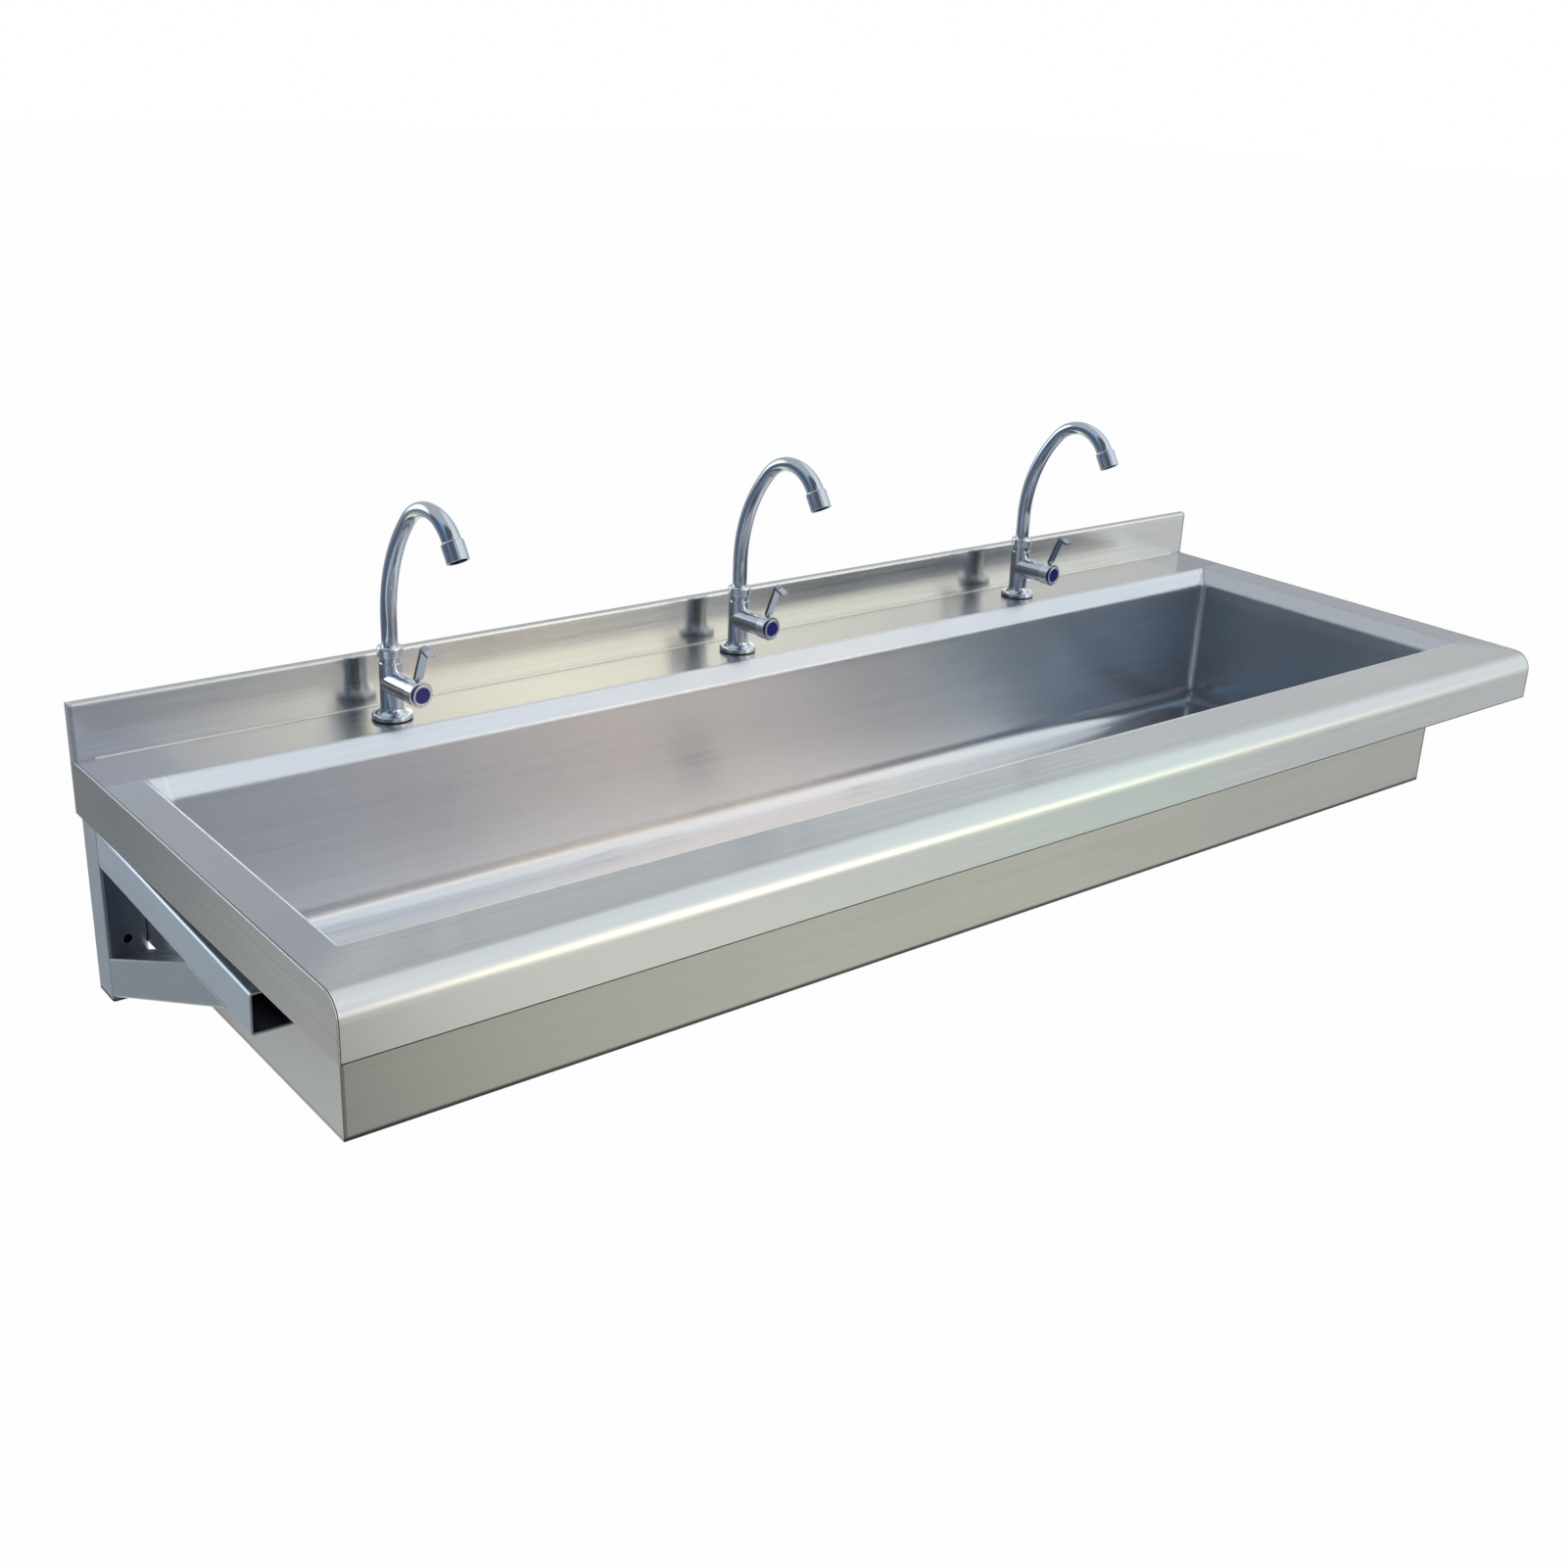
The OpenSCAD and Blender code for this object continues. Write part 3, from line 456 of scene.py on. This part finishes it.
def bowl_welds_and_painted_light(bench, x, y, z, colour):
    weld = abs(x).bump_at(BOWL_CORNER_X, CORNER_LINE)
    weld = weld * y.step(BOWL_CORNER_Y - 30 * MM, BOWL_CORNER_Y - 20 * MM)
    rear = y.step(BOWL_CORNER_Y - 20 * MM, BOWL_CORNER_Y - 10 * MM)
    rear = rear * (1 - z.step(bowl_top - 30 * MM, bowl_top - 20 * MM))
    aside = abs(x).step(*SIDE_WALL) * (1 - rear) * (1 - z.step(bowl_top - 50 * MM, bowl_top - 30 * MM))
    # painted reflections on the rear and side walls, a painted pink and green sheen, and painted shade
    # towards the rear wall's right corner; the welds are real
    colour = bench.tint(colour, rear, REAR_REFLECTION_TINT)
    colour = bench.tint(colour, rear * x.bump_at(*GREEN_SHEEN), REAR_GREEN_REFLECTION)
    colour = bench.tint(colour, rear * x.step(*DARK_END), REAR_CORNER_SHADE)
    colour = bench.tint(colour, aside, SIDE_WALL_REFLECTION_TINT)
    colour = bench.tint(colour, (0.4 + 0.6 * rear) * x.bump_at(*PINK_SHEEN), PINK_REFLECTION_TINT)
    return bench.tint(colour, weld, WELD_TINT)


def end_painted_shade_and_reflection(bench, x, y, z, colour):
    # painted shade towards the wall, and a painted reflection along the plates' top edge
    colour = bench.tint(colour, y.step(*WALLWARDS), END_SHADE_TINT)
    return bench.tint(colour, z.step(deck_top - 2 * MM, deck_top - 1 * MM), END_TOP_REFLECTION_TINT)


def splash_painted_reflection(bench, x, y, z, colour):
    # a painted reflection darkens the upstand's top face
    return bench.tint(colour, z.step(splash_top - 1.0 * MM, splash_top - 0.3 * MM), SPLASH_TOP_REFLECTION_TINT)


def casing_seams_and_painted_light(bench, x, y, z, colour):
    out = abs(x)
    front = 1 - y.step(CASING_FRONT + 0.3 * MM, CASING_FRONT + 0.6 * MM)
    # painted shade: a near-black band along the hem at the casing's foot, strongest on the front; the
    # corner seams are dark joints
    hem_shade = (1 - z.step(casing_foot + 0.4 * HEM_SHADE_HEIGHT, casing_foot + HEM_SHADE_HEIGHT)) * (0.3 + 0.7 * front)
    seam = out.step(CASING_END - 2.5 * MM, CASING_END - 1.5 * MM) * front
    # a painted reflection lightens the casing's end faces
    colour = bench.tint(colour, out.step(CASING_END - 2 * MM, CASING_END - 1 * MM), CASING_END_REFLECTION_TINT)
    colour = bench.tint(colour, hem_shade, HEM_SHADE_TINT)
    return bench.tint(colour, seam, CASING_SEAM_TINT)


SHEETS = [  # name, tint (lighter and darker copies: painted light and shade), roughness, way of the brushing, marks and painted light, fold, pieces
    ("splash_steel", (0.98, 0.97, 0.93), 0.17, LONG_WAY, splash_painted_reflection, WIDE_FOLD, ["backsplash"]),
    ("end_steel", (0.90, 0.87, 0.83), 0.27, DEEP_WAY, end_painted_shade_and_reflection, FOLD,
     ["left_end_plate", "right_end_plate"]),
    ("bowl_steel", (0.88, 0.90, 0.94), 0.21, LONG_WAY, bowl_welds_and_painted_light, WIDE_FOLD, ["bowl"]),
    ("casing_steel", (0.67, 0.66, 0.61), 0.32, LONG_WAY, casing_seams_and_painted_light, FOLD, ["bowl_casing"]),
]
for *finish, pieces in SHEETS:
    wear(satin_steel(*finish), *pieces)

# %% [markdown]
# ## Bracket tube and its caps
#
# The brackets are welded from square tube with a satin skin that is a little bluer and duller than the
# sheet. The arm and the brace get a lighter and a darker copy of the leg's steel: painted light on the
# arm, painted shade on the brace. Each leg ends in a pressed-in plastic cap.

# %% Finish the brackets
PEBBLE_WAVES, PEBBLE_DEPTH, PEBBLE_SHARE = 900.0, 0.04 * MM, 0.2


def moulded(name, colour, roughness, coat=0.0):
    """Moulded plastic or rubber with a fine pebbled skin."""
    material, bench = new_material(name)
    place, _ = place_on(bench)
    pebble = bench.add("ShaderNodeTexNoise", {}, {"Vector": place, "Scale": PEBBLE_WAVES, "Detail": 2.0})
    cloud = bench.add("ShaderNodeTexNoise", {}, {"Vector": place, "Scale": 30.0, "Detail": 2.0})
    skin = bench.mix(cloud, tuple(0.85 * c for c in colour), tuple(1.15 * c for c in colour))
    edge = bench.add("ShaderNodeBevel", BEVEL_RAYS, {"Radius": SMALL_EDGE})
    bump = bench.add("ShaderNodeBump", {}, {"Strength": PEBBLE_SHARE, "Distance": PEBBLE_DEPTH,
                                            "Height": pebble, "Normal": edge})
    bench.surface({"Base Color": skin, "Roughness": roughness + 0.1 * (cloud - 0.5), "Normal": bump,
                   "Coat Weight": coat})
    return material


SIDES = ("left", "right")
# one steel in three tones: painted light on the arms, painted shade on the braces
wear(satin_steel("leg_steel", (0.66, 0.70, 0.78), 0.34, UP_WAY), *(side + "_leg" for side in SIDES))
wear(satin_steel("arm_steel_painted_light", (0.77, 0.83, 0.92), 0.34, DEEP_WAY), *(side + "_arm" for side in SIDES))
wear(satin_steel("brace_steel_painted_shade", (0.54, 0.57, 0.63), 0.34, DEEP_WAY), *(side + "_brace" for side in SIDES))
wear(moulded("cap_plastic", (0.06, 0.065, 0.075), 0.55), *(side + "_leg_cap" for side in SIDES))

# %% [markdown]
# ## Waste, seals and brass
#
# These sit inside and under the sink. The waste is polished, its seals are black rubber, and the nuts
# and shanks under the deck are plain turned brass.

# %% Finish the hidden pieces
TAPS = ("left", "middle", "right")


def per_tap(*pieces):
    return [tap + "_tap_" + piece for tap in TAPS for piece in pieces]


def turned_brass(name):
    material, bench = new_material(name)
    place, _ = place_on(bench)
    grooves = brushed(bench, place, LONG_WAY)
    cloud = bench.add("ShaderNodeTexNoise", {}, {"Vector": place, "Scale": 60.0, "Detail": 3.0})
    colour = bench.mix(cloud, (0.62, 0.43, 0.20), (0.80, 0.62, 0.33))
    bench.surface({"Base Color": colour, "Metallic": 1.0, "Roughness": 0.28 + 0.12 * (grooves - 0.5)})
    return material


waste_steel = satin_steel("waste_steel", (0.78, 0.79, 0.80), 0.12, LONG_WAY)
wear(waste_steel, "waste_flange", "waste_grid", "waste_screw")
wear(moulded("seal_rubber", (0.03, 0.03, 0.032), 0.7), "waste_gasket", "waste_washer", *per_tap("gasket"))
wear(turned_brass("brass"), "waste_locknut", *per_tap("shank", "backnut", "cartridge", "spindle"))

# %% [markdown]
# ## Chrome and navy plastic
#
# Chrome is the smoothest finish here, but a real tap is never a perfect mirror: water marks dull it in
# soft patches. The photograph doesn't show the backs of the bodies, only their dark mirror images in the
# upstand. The bodies' backs are painted greyer, a painted shade that darkens those images. It is a choice
# made for the picture. The chrome pieces are lighter and darker copies of one chrome: painted light on the
# collars, knobs and trim rings, painted shade on the levers and, a little, on the spouts. The index cap is
# navy plastic under a clear gloss.

# %% Finish the taps
TAP_BACK = 0.060                  # from the wall to the taps' axes
# painted shade laid on the bodies' backs
BACK_FADE, BACK_SHADE_TINT = 6 * MM, (0.7, (0.30, 0.33, 0.37))


def chrome(name, tint, roughness=0.05, painted_shade_back=False):
    material, bench = new_material(name)
    place, (_, y, _) = place_on(bench)
    marks = bench.add("ShaderNodeTexNoise", {}, {"Vector": place, "Scale": 90.0, "Detail": 4.0})
    colour = bench.mix(marks, tuple(0.94 * c for c in tint), tint)
    if painted_shade_back:
        # painted shade on the back, which darkens the body's mirror image in the upstand
        colour = bench.tint(colour, y.step(-TAP_BACK, BACK_FADE - TAP_BACK), BACK_SHADE_TINT)
    edge = bench.add("ShaderNodeBevel", BEVEL_RAYS, {"Radius": SMALL_EDGE})
    bench.surface({"Base Color": colour, "Metallic": 1.0, "Normal": edge,
                   "Roughness": roughness + 0.05 * marks.step(0.5, 0.8)})
    return material


# lighter and darker copies of one chrome: painted light on collars, knobs and trim rings, painted shade on
# levers
tap_chrome = chrome("tap_chrome", (0.72, 0.76, 0.82))
wear(tap_chrome, *per_tap("spout", "aerator"))
wear(chrome("body_chrome", (0.80, 0.84, 0.90), painted_shade_back=True), *per_tap("body"))
painted_light_chrome = chrome("painted_light_chrome", (0.97, 0.98, 1.00), 0.20)
wear(painted_light_chrome, *per_tap("collar", "knob"))
wear(chrome("lever_chrome", (0.50, 0.53, 0.57), 0.14), *per_tap("lever"))
wear(moulded("index_plastic", (0.010, 0.014, 0.20), 0.25, coat=0.6), *per_tap("index_cap"))

# %% [markdown]
# ## Swan-neck spouts
#
# A spout is one tube, bent in a wide curve and then in a tight one, and swaged wider at its end for the
# jet former. The CAD tube has one thickness all along. Here a ring of points is carried along the same
# centre line, with a radius that follows the real tube: a little thicker where it leaves the collar,
# slimmer over the crown, and widening over the last few centimetres. A curve with a bevel could do it
# too, but rings in a mesh give the radius exactly, and a second set of rings makes the bore.

# %% Carry rings along the spout
TAP_PLACES = {"left": -0.548, "middle": -0.045, "right": 0.476}
TAP_TURN = math.radians(6)
SLOW_RADIUS, SLOW_BEND, CROWN_RADIUS = 0.190, math.radians(42), 0.051
RISER_FOOT, RISER_TOP, OUTLET_FALL = 0.0601, 0.119, math.radians(60)
RISER_STEPS, BEND_STEPS = 20, 60
PLUG = 0.008                      # how far the tube goes into the jet former
RING_POINTS = 48


def spout_line():
    """Centre line in the spout's plane: forward, up, direction angle from straight up."""
    rise = (RISER_TOP - RISER_FOOT) / RISER_STEPS
    line = [(0.0, RISER_FOOT + k * rise, 0.0) for k in range(RISER_STEPS)]
    for k in range(BEND_STEPS + 1):
        turn = SLOW_BEND * k / BEND_STEPS
        line.append((SLOW_RADIUS * (1 - math.cos(turn)), RISER_TOP + SLOW_RADIUS * math.sin(turn), turn))
    forward, up, _ = line[-1]
    middle = forward + CROWN_RADIUS * math.cos(SLOW_BEND), up - CROWN_RADIUS * math.sin(SLOW_BEND)
    last = math.pi / 2 + OUTLET_FALL
    for k in range(1, BEND_STEPS + 1):
        turn = SLOW_BEND + (last - SLOW_BEND) * k / BEND_STEPS
        forward, up = -CROWN_RADIUS * math.cos(turn), CROWN_RADIUS * math.sin(turn)
        line.append((middle[0] + forward, middle[1] + up, turn))
    return line


def ease(value, low, high):
    share = min(max((value - low) / (high - low), 0), 1)
    return share * share * (3 - 2 * share)


line = spout_line()
runs = [0.0]
for a, b in zip(line, line[1:]):
    runs.append(runs[-1] + math.hypot(b[0] - a[0], b[1] - a[1]))
print("centre line of", len(line), "points,", round(runs[-1] / MM), "mm long")

# %% [markdown]
# ## The spouts' skin
#
# Each ring stands square to the centre line, and the rings are joined into one closed skin: up the
# outside, over the end and back through the bore. A turn of six degrees then sets each spout as its tap
# stands on the ledge.

# %% Make the three spouts
RISER_R, THICK_R, SLIM_R, END_R, PLUG_R, BORE_R = (v * MM for v in (9.05, 9.5, 8.85, 10.9, 10.35, 7.9))
THICKENS, SLIMS = (0.089, 0.094), (0.10, 0.19)        # by height above the deck, by length along the tube
WIDENS = (0.055, 0.004)                               # by length before the end
BORE_EVERY = 4                                        # the bore needs fewer rings
SHARP = math.radians(40)


def tube_radius(run, height):
    radius = RISER_R + (THICK_R - RISER_R) * ease(height, *THICKENS)
    radius += (SLIM_R - THICK_R) * ease(run, *SLIMS)
    return radius + (END_R - SLIM_R) * ease(run, *(runs[-1] - left for left in WIDENS))


def spout_rings():
    """Rings from the foot out to the end, and back through the bore: centre, turn, radius."""
    outer = [(f, u, turn, tube_radius(run, u)) for (f, u, turn), run in zip(line, runs)]
    forward, up, turn, _ = outer[-1]
    plug = (forward + PLUG * math.sin(turn), up + PLUG * math.cos(turn), turn)
    outer += [(forward, up, turn, PLUG_R), (*plug, PLUG_R)]
    inner = [(f, u, t, BORE_R) for f, u, t, _ in outer[:-2:BORE_EVERY]] + [(*plug, BORE_R)]
    return outer + inner[::-1]


def ring_point(forward, up, turn, radius, angle):
    out = radius * math.cos(angle)
    return Vector((radius * math.sin(angle), -(forward + out * math.cos(turn)), up - out * math.sin(turn)))


def tube_mesh(name, rings, closed=True):
    """A skin through rings of points. The last ring joins the first, or else both ends get a face."""
    form = bmesh.new()
    loops = [[form.verts.new(point) for point in ring] for ring in rings]
    pairs = list(zip(loops, loops[1:])) + ([(loops[-1], loops[0])] if closed else [])
    for first, second in pairs:
        for k in range(len(first)):
            m = (k + 1) % len(first)
            form.faces.new((first[k], first[m], second[m], second[k]))
    if not closed:
        form.faces.new(loops[0][::-1])
        form.faces.new(loops[-1])
    bmesh.ops.recalc_face_normals(form, faces=form.faces)
    mesh = bpy.data.meshes.new(name)
    form.to_mesh(mesh)
    form.free()
    mesh.shade_smooth()
    mesh.set_sharp_from_angle(angle=SHARP)
    return mesh


def add_piece(name, mesh, material, body):
    """A new piece that rides on a CAD body and takes the finish that it is given."""
    piece = bpy.data.objects.new(name, mesh)
    bpy.context.scene.collection.objects.link(piece)
    mesh.materials.append(material)
    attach(piece, body)
    return piece


def tap_place(along, rise=0.0):
    """Where a tap stands on the ledge, and how it is turned."""
    return Matrix.Translation((along, -TAP_BACK, deck_top + rise)) @ Matrix.Rotation(TAP_TURN, 4, "Z")


angles = [2 * math.pi * k / RING_POINTS for k in range(RING_POINTS)]
spout_mesh_rings = [[ring_point(*ring, angle) for angle in angles] for ring in spout_rings()]
for tap, along in TAP_PLACES.items():
    place = tap_place(along)
    rings = [[place @ point for point in ring] for ring in spout_mesh_rings]
    spout = add_piece(tap + "_swan_neck", tube_mesh(tap + "_swan_neck", rings), tap_chrome,
                      tap + "_spout")
    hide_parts(tap + "_tap_spout")
print("rings in a spout:", len(spout_mesh_rings))

# %% [markdown]
# ## Trim rings on the index caps
#
# In the photograph the navy face is only the middle of the cap, inside a bright metal ring. Here the
# ring is taken to be pressed over the cap's edge. It is turned: its outline goes once round the
# handle's axis. It rides on the handle, so it turns with the lever.

# %% Turn the trim rings
HANDLE_RISE, CAP_FACE = 44 * MM, 64.3 * MM        # axis above the deck, cap's face from the tap's axis
RING_OUTLINE = [  # mm from the ring's axis, mm in front of the cap's face
    (9.7, -0.5), (9.7, 0.2), (10.1, 0.6), (12.0, 0.6), (12.4, 0.2), (12.4, -0.5)]


def trim_ring(place):
    def point(angle, radius, out):
        radius = radius * MM
        return Vector((radius * math.sin(angle), -(CAP_FACE + out * MM), radius * math.cos(angle)))

    return [[place @ point(angle, *corner) for corner in RING_OUTLINE] for angle in angles]


for tap, along in TAP_PLACES.items():
    ring_mesh = tube_mesh(tap + "_trim_ring", trim_ring(tap_place(along, HANDLE_RISE)))
    add_piece(tap + "_trim_ring", ring_mesh, painted_light_chrome, tap + "_handle")
print("trim rings, mm across:", 2 * RING_OUTLINE[-1][0])

# %% [markdown]
# ## Bead between ledge and upstand
#
# The upstand is a folded channel of its own. The photograph shows one bright line where it meets the
# ledge, behind the taps, and a thin round bead of weld is the likeliest cause. It is half sunk in the
# corner.

# %% Lay the bead
BEAD_R, BEAD_POINTS, BEAD_SHORT = 1.6 * MM, 16, 20 * MM        # it stops short of the ends


def bead(name, start, end, radius, material):
    """A round bead from one point to another, half sunk in the corner that it fills."""
    run = end - start
    turn = run.to_track_quat("Z", "Y")
    steps = [2 * math.pi * k / BEAD_POINTS for k in range(BEAD_POINTS)]
    ring = [Vector((radius * math.cos(step), radius * math.sin(step), 0)) for step in steps]
    rings = [[centre + turn @ point for point in ring] for centre in (start, end)]
    add_piece(name, tube_mesh(name, rings, closed=False), material, "basin")


splash_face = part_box("backsplash")[0].y
bead_end = deck_end - BEAD_SHORT
bead("splash_bead", Vector((-bead_end, splash_face, deck_top)), Vector((bead_end, splash_face, deck_top)),
     BEAD_R, nodes["backsplash"].material_slots[0].material)
print("bead length, mm:", round(2 * bead_end / MM))

# %% [markdown]
# ## The box of the looks
#
# The box of all that is shown is measured again, and how much it grew over the CAD's box is printed.
# The looks stay inside the CAD's box, and both boxes are written down so that they can be compared.

# %% Compare the boxes and finish
seen_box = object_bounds()
grown = (seen_box[1] - seen_box[0]) - (cad_box[1] - cad_box[0])
print("grown by, mm:", [round(v / MM, 2) for v in grown])
